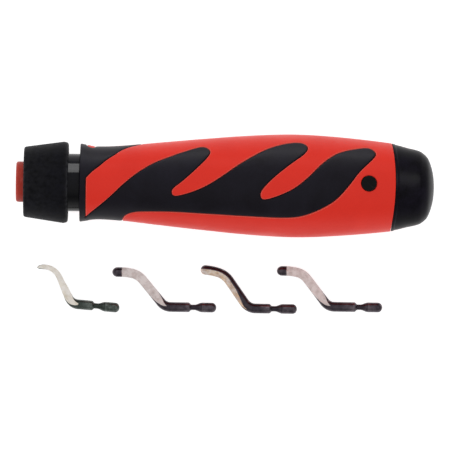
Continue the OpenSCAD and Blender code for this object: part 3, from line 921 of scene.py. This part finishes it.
rings = []
for d in (0, 0.04, 0.1, 0.22, 0.5, 0.82, 0.9, 1.0, 1.1, STEP_BACK):
    sink = (np.interp(d, [0, 0.04, 0.1, 0.22], [EDGE_DROP, 0.05, 0.01, 0])
            + np.interp(d, [0.82, 1.0, 1.1], [0, 0.11, STEP_DROP]))
    rings.append(cap_ring(start + d, cap_r(start + d) - sink))
for t in np.linspace(0, 1, 9)[1:]:
    x = (start + STEP_BACK) * (1 - t) + 129.5 * t
    rings.append(cap_ring(x, cap_r(x) - STEP_DROP * (1 - t) ** 2))
for x, r in cap_curve[cap_curve[:, 0] > 129.8]:
    rings.append(cap_ring(x, max(r, 0)))
for x, r in ((130, 0), (130, 9.4), (SPIGOT_FRONT, 9.4), (SPIGOT_FRONT, 10.9),
             (SPIGOT_FRONT + 0.2, SPIGOT_R), (119.1, SPIGOT_R),
             (119.1, 10.15), (120.1, 10.15), (120.1, SPIGOT_R)):
    rings.append(cap_ring(x, r))
rings.append(cap_ring(cap_seam(SPIGOT_R * np.sin(angle)), SPIGOT_R))
for t in (0.4, 0.8):
    r = SPIGOT_R + (cap_r(start) - EDGE_DROP - SPIGOT_R) * t
    rings.append(cap_ring(cap_seam(r * np.sin(angle)), r))

count, n = len(rings), TURN_STEPS
dome_end = count - 13
faces = [(j * n + k, j * n + (k + 1) % n, (j + 1) % count * n + (k + 1) % n, (j + 1) % count * n + k)
         for j in range(count) for k in range(n) if j != dome_end]
cap = make_piece("cap_dome", np.vstack(rings), faces, [CAP_BLACK])
cut(cap, block((105, -2.4, 8), (BUTTON_X, 2.4, 13)),
    cylinder_between((BUTTON_X, 0, 8), (BUTTON_X, 0, 13), 2.4))
install(cap, "cap", "cap_black", "end_cap")

# %% [markdown]
# ## The latch button
# A small black button on a thin stem holds the cap. Its flat head sits a little below
# the shell and its edge is rounded. A groove near its foot takes the clip.

# %% Button
button_outline = rounded([
    (9.6, 0), (9.6, 1.3, 0.25), (10.55, 1.3), (10.55, 1.0), (10.95, 1.0), (10.95, 1.3),
    (13.6, 1.3), (13.6, 2.5, 0.1), (15.4, 2.5, 0.35), (15.4, 1.2, 0.3), (15.32, 0),
])
points, faces = spin_points(button_outline, 96)
button = make_piece("latch_button_head", [(BUTTON_X + y, z, h) for h, y, z in points], faces,
                    [BUTTON_BLACK])
install(button, "button", "button_black", "latch_button")

# %% [markdown]
# ## Springs and seal
# Geometry Nodes winds the two coil springs and the rubber ring. A spiral is the wire's
# centre line, a circle is its section, and the tree's inputs are the sizes a spring maker
# would give. The finished coils become plain meshes.

# %% Geometry Nodes: a coil and a ring


def sweep_wire(tree, source, result, centre_line):
    """Sweeps a round wire along the centre line, makes it real and gives it its material."""
    section = add_node(tree, "GeometryNodeCurvePrimitiveCircle", Resolution=16,
                       Radius=source.outputs["Wire Radius"])
    wire = add_node(tree, "GeometryNodeCurveToMesh", Fill_Caps=True, Curve=centre_line,
                    Profile_Curve=section.outputs["Curve"])
    real = add_node(tree, "GeometryNodeRealizeInstances", Geometry=wire.outputs["Mesh"])
    paint = add_node(tree, "GeometryNodeSetMaterial", Geometry=real.outputs["Geometry"],
                     Material=source.outputs["Material"])
    feed(tree, result, Geometry=paint.outputs["Geometry"])


def coil_tree():
    tree, source, result = new_group("wound_coil", {
        "Coil Radius": 0.0076, "Wire Radius": 0.0004, "Height": 0.006, "Turns": 4.0,
        "Steps": ("Int", 48), "Material": ("Material", None),
    }, {"Geometry": "Geometry"}, "Geometry")
    size = source.outputs
    spiral = add_node(tree, "GeometryNodeCurveSpiral", Resolution=size["Steps"],
                      Rotations=size["Turns"], Height=size["Height"],
                      Start_Radius=size["Coil Radius"], End_Radius=size["Coil Radius"])
    sweep_wire(tree, source, result, spiral.outputs["Curve"])
    return tree


def ring_tree():
    tree, source, result = new_group("round_ring", {
        "Ring Radius": 0.0106, "Wire Radius": 0.00045, "Steps": ("Int", 128),
        "Material": ("Material", None),
    }, {"Geometry": "Geometry"}, "Geometry")
    circle = add_node(tree, "GeometryNodeCurvePrimitiveCircle", Resolution=source.outputs["Steps"],
                      Radius=source.outputs["Ring Radius"])
    sweep_wire(tree, source, result, circle.outputs["Curve"])
    return tree


def grow(name, tree, settings, place):
    """Runs a tree with its inputs set by name, and keeps the result as a plain, placed mesh."""
    piece = new_object(name, bpy.data.meshes.new(name))
    modifier = piece.modifiers.new(name, "NODES")
    modifier.node_group = tree
    sockets = {s.name: s.identifier for s in tree.interface.items_tree if s.in_out == "INPUT"}
    for label, value in settings.items():
        modifier[sockets[label]] = value
    plain_mesh(piece)
    mesh = piece.data
    bm = bmesh.new()
    bm.from_mesh(mesh)
    bmesh.ops.remove_doubles(bm, verts=bm.verts, dist=1e-7)
    for v in bm.verts:
        v.co = place(v.co)
    bmesh.ops.recalc_face_normals(bm, faces=bm.faces)
    open_edges = sum(1 for e in bm.edges if len(e.link_faces) != 2)
    bm.to_mesh(mesh)
    bm.free()
    mesh.shade_smooth()
    mesh.set_sharp_from_angle(angle=SHARP)
    print(f"{name}: {len(mesh.polygons)} faces, {open_edges} open edges, {len(mesh.materials)} material")
    return piece


COIL, RING = coil_tree(), ring_tree()
collar_coil = grow("collar_coil", COIL, {
    "Coil Radius": 0.0076, "Wire Radius": 0.00042, "Height": 0.00612, "Turns": 4.0,
    "Steps": 48, "Material": SPRING_STEEL,
}, lambda p: Vector((0.00984 + p.z, p.x, p.y)))
install(collar_coil, "handle", "spring_steel", "collar_spring")
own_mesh(collar_coil)

button_coil = grow("button_coil", COIL, {
    "Coil Radius": 0.00195, "Wire Radius": 0.00014, "Height": 0.00128, "Turns": 2.0,
    "Steps": 40, "Material": SPRING_STEEL,
}, lambda p: Vector((BUTTON_X * MM + p.x, p.y, 0.01216 + p.z)))
install(button_coil, "handle", "spring_steel", "button_spring")
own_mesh(button_coil)

seal = grow("seal_ring", RING, {
    "Ring Radius": 0.0106, "Wire Radius": 0.00044, "Steps": 128, "Material": SEAL_RUBBER,
}, lambda p: Vector((0.1196 + p.z, p.x, p.y)))
install(seal, "cap", "seal_rubber", "cap_seal")

# %% [markdown]
# ## The blades
# A blade is a hardened steel bar, bent to shape and blackened, with one flat ground bright
# along its working end. Each one is a sweep: a table of stretches gives the length, the
# bend, the radius and how far round the bar the flat's edges lie, and the section is a
# circle with that flat sliced off. The flat's edges open steadily from nothing, so it
# starts as a point, as a flat does where a wheel runs out of a bar.

# %% Sweep a ground bar along its bends
BAR_R = 1.598
AXIS_Z = -16.75 + 1.6
SECTION = 40


def round_off(length, radius, head=False, wide=0, steps=8):
    """Rows for a rounded tip, or from the axis outwards for the head that the path starts at."""
    rows, before = [], 0.0
    for k in range(1, steps + 1):
        a = math.pi / 2 * k / steps
        along, across = (1 - math.cos(a), math.sin(a)) if head else (math.sin(a), math.cos(a))
        rows.append((length * (along - before), 0, max(radius * across, 0.03), wide, 1))
        before = along
    return rows


def bar_stations(rows):
    """(x, y, heading, radius, half-angle of the flat) along the bar, from its head."""
    x, y, heading, r, wide = 0.0, 0.0, 180.0, 0.03, 0.0
    stations = [(x, y, heading, r, wide)]
    for length, turn, r_end, wide_end, steps in rows:
        for k in range(1, steps + 1):
            middle = math.radians(heading + turn * (k - 0.5) / steps)
            x += length / steps * math.cos(middle)
            y += length / steps * math.sin(middle)
            t = k / steps
            soft = t * t * (3 - 2 * t)
            stations.append((x, y, heading + turn * t, r + (r_end - r) * soft, wide + (wide_end - wide) * t))
        heading, r, wide = heading + turn, r_end, wide_end
    return stations


def make_blade(name, rows, place, angle, tilt, materials):
    """Sweeps the bar and lays it on the floor with its head at the place."""
    turn, lean = math.radians(angle), math.radians(tilt)
    points, faces, paint, rings = [], [], [], []
    for x, y, heading, r, wide in bar_stations(rows):
        h, flat = math.radians(heading), math.radians(wide)
        ring = []
        for k in range(SECTION):
            a = flat + (2 * math.pi - 2 * flat) * k / (SECTION - 1)
            up, across = r * math.cos(a), r * math.sin(a)
            side = up * math.sin(lean) + across * math.cos(lean)
            px, py = x - side * math.sin(h), y + side * math.cos(h)
            ring.append(len(points))
            points.append((place[0] + px * math.cos(turn) - py * math.sin(turn),
                           place[1] + px * math.sin(turn) + py * math.cos(turn),
                           AXIS_Z + up * math.cos(lean) - across * math.sin(lean)))
        rings.append((ring, wide > 1))
    for (near, near_flat), (far, far_flat) in zip(rings, rings[1:]):
        for k in range(SECTION):
            n = (k + 1) % SECTION
            faces.append((near[k], near[n], far[n], far[k]))
            paint.append(1 if n == 0 and (near_flat or far_flat) else 0)
    faces += [tuple(rings[0][0]), tuple(rings[-1][0])]
    paint += [0, 0]
    return make_piece(name, points, faces, materials, paint, merge=0.0008, sharp=math.radians(28))


SHANK = round_off(1.4, BAR_R, head=True) + [
    (3.35, 0, BAR_R, 0, 2), (0.05, 0, 1.56, 0, 1), (2.35, 0, 0.88, 0, 10), (1, 0, 0.88, 0, 2),
    (0.85, 0, 1.56, 0, 6), (0.05, 0, BAR_R, 0, 1),
]
HOOK = SHANK + [
    (4.4, 0, BAR_R, 0, 3), (0.2, 0, BAR_R, 10, 2), (3.7, -60, 1.4, 62, 16), (1.6, 0, 1.3, 78, 6),
    (6.2, 0, 0.95, 82, 8), (4.6, 48, 0.84, 80, 16), (1.8, 18, 0.78, 60, 8),
    (1.3, 6, 0.6, 40, 6), (0.7, 2, 0.16, 20, 4),
]
SIDE_GROUND = SHANK + [
    (4.5, 0, BAR_R, 0, 3), (2.3, -29.5, 1.58, 0, 8), (2, -25, 1.58, 18, 8), (2.5, 0, 1.58, 38, 6),
    (2.5, 0, 1.58, 52, 6), (3.75, 0, 1.58, 55, 6), (4.2, 36, 1.58, 55, 16), (3.5, 12, 1.58, 55, 10),
    (1.1, 0, 1.58, 55, 3),
] + round_off(1.55, 1.58, wide=55)


def wide_rows(straight, bend):
    """A wide blade's rows, for its straight length and the angle of its first bend."""
    return SHANK + [
        (straight, 0, BAR_R, 0, 3), (1.2, -bend / 3, 1.58, 0, 5), (2.4, -2 * bend / 3, 1.57, 32, 11),
        (1.5, 0, 1.55, 50, 5), (1.6, 0, 1.53, 64, 5), (2, 0, 1.52, 78, 4), (4.3, 0, 1.52, 84, 4),
        (4.2, bend - 12, 1.55, 84, 16), (3.3, 11, 1.57, 84, 8),
        (0.1, 0, 1.59, 6, 1), (0.1, 0, BAR_R, 0, 1), (1.35, 2, BAR_R, 0, 3),
    ] + round_off(1.7, BAR_R)


BLADES = [
    ("hook_blade", HOOK, (34.15, -39.68), -4.1, 0, [HOOK_OXIDE, GROUND_HOOK], "blade_hook", 1),
    ("wide_blade_left", wide_rows(5.9, 50), (65.8, -39.1), 0, 0, [OXIDE, GROUND], "blade_dark", 2),
    ("side_ground_blade", SIDE_GROUND, (92.15, -39.15), 0, 50, [OXIDE, GROUND_STRAW], "blade_dark", 3),
    ("wide_blade_right", wide_rows(6.65, 52), (120, -38.2), 0, 0, [OXIDE, GROUND], "blade_dark", 4),
]
for name, rows, place, angle_z, tilt, materials, slot_name, number in BLADES:
    blade = make_blade(name, rows, place, angle_z, tilt, materials)
    install(blade, f"loose_blade_{number}", slot_name, f"blade_{number}")

# %% [markdown]
# ## Small metal parts kept from the CAD
# The lock pins, cam ring, washers, retaining ring, cross pin, nut and clip are already
# true to shape in the CAD, so they stay and only take their metal.

# %% Metals for the kept parts
KEPT = {
    STEEL: ("lock_pin_top", "lock_pin_bottom", "chuck_pin", "clamp_washer", "clamp_nut"),
    BRASS: ("cam_ring",),
    SPRING_STEEL: ("spring_washer", "button_clip"),
    DARK_STEEL: ("retaining_ring",),
}
for material, names in KEPT.items():
    for name in names:
        mesh = nodes[name].data
        if not mesh.materials:
            mesh.materials.append(material)
        for k in range(len(mesh.materials)):
            mesh.materials[k] = material
print("kept parts:", sum(len(names) for names in KEPT.values()))

# %% [markdown]
# ## Floor, light and camera
# The tool and its blades lie on a plain white table under a white sky, with a greyer belt
# about a third of the way up. It keeps the red flat and bright. One soft light stands on
# the far side. Black parts show only what they reflect, so three more soft lights are
# linked to one part each: they draw the band on the neck, the glow on the cap and the
# sheen on the grip, and leave the rest alone. The camera looks almost straight down.

# %% Stage
FLOOR_Z = -0.01675
floor_mesh = bpy.data.meshes.new("table")
floor_mesh.from_pydata([(x, y, FLOOR_Z) for x, y in ((-1.2, -1.2), (1.4, -1.2), (1.4, 1.2), (-1.2, 1.2))],
                       [], [(0, 1, 2, 3)])
table = new_object("table", floor_mesh)
paper, _, _ = new_material("white_table", Base_Color=(0.55, 0.55, 0.55, 1), Roughness=0.9,
                           Specular_IOR_Level=0.1, Emission_Color=(1, 1, 1, 1), Emission_Strength=0.8)
floor_mesh.materials.append(paper)

world = bpy.data.worlds.new("studio")
bpy.context.scene.world = world
world.use_nodes = True
sky = world.node_tree
direction = add_node(sky, "ShaderNodeTexCoord")
height = add_node(sky, "ShaderNodeSeparateXYZ", Vector=direction.outputs["Generated"])
belt = add_node(sky, "ShaderNodeValToRGB", Fac=height.outputs["Z"])
belt.color_ramp.elements[0].position, belt.color_ramp.elements[0].color = 0.0, (1.0, 1.0, 1.02, 1)
belt.color_ramp.elements[1].position, belt.color_ramp.elements[1].color = 0.95, (1.08, 1.08, 1.1, 1)
for position, level in ((0.45, 0.48), (0.75, 0.92)):
    stop = belt.color_ramp.elements.new(position)
    stop.color = (level, level, level, 1)
feed(sky, sky.nodes["Background"], Color=belt.outputs["Color"])

TARGET = Vector((0.0682, -0.0131, 0))


def softbox(name, azimuth, off_vertical, distance, size, radiance):
    """A soft rectangular light that faces the tool; radiance is what it shows to a mirror."""
    a, e = math.radians(azimuth), math.radians(off_vertical)
    toward = Vector((math.cos(a) * math.sin(e), math.sin(a) * math.sin(e), math.cos(e)))
    light = bpy.data.lights.new(name, "AREA")
    light.shape, light.size, light.size_y = "RECTANGLE", size[0], size[1]
    light.energy = radiance * math.pi * size[0] * size[1]
    lamp = new_object(name, light)
    lamp.location = TARGET + toward * distance
    lamp.rotation_euler = toward.to_track_quat("Z", "Y").to_euler()
    return lamp


softbox("far_softbox", 90, 54, 0.7, (0.7, 0.2), 1.4)
for lamp, piece in ((softbox("neck_strip", 90, 57, 0.7, (0.7, 0.5), 11), neck),
                    (softbox("cap_glow", 35, 36, 0.7, (0.3, 0.4), 6), cap),
                    (softbox("grip_sheen", 90, 78, 0.7, (0.7, 0.2), 6), grip_piece)):
    receivers = bpy.data.collections.new("lit_by_" + lamp.name)
    receivers.objects.link(piece)
    lamp.light_linking.receiver_collection = receivers

ELEVATION, ROLL, REACH, LENS, SENSOR = math.radians(85.7), math.radians(0.9), 2.928, 720, 36
back = Vector((0, -math.cos(ELEVATION), math.sin(ELEVATION)))
up = Vector((0, math.sin(ELEVATION), math.cos(ELEVATION)))
right = Vector((math.cos(ROLL), 0, 0)) + math.sin(ROLL) * up
up = back.cross(right)
camera_data = bpy.data.cameras.new("camera")
camera_data.lens, camera_data.sensor_width = LENS, SENSOR
camera = new_object("camera", camera_data)
spot = TARGET + back * REACH
camera.matrix_world = Matrix([(right[k], up[k], back[k], spot[k]) for k in range(3)] + [(0, 0, 0, 1)])
bpy.context.scene.camera = camera
bpy.context.scene.view_settings.view_transform = "Standard"
print("camera", round(REACH, 3), "m away, the frame is", round(REACH * SENSOR / LENS * 1000, 1), "mm wide")
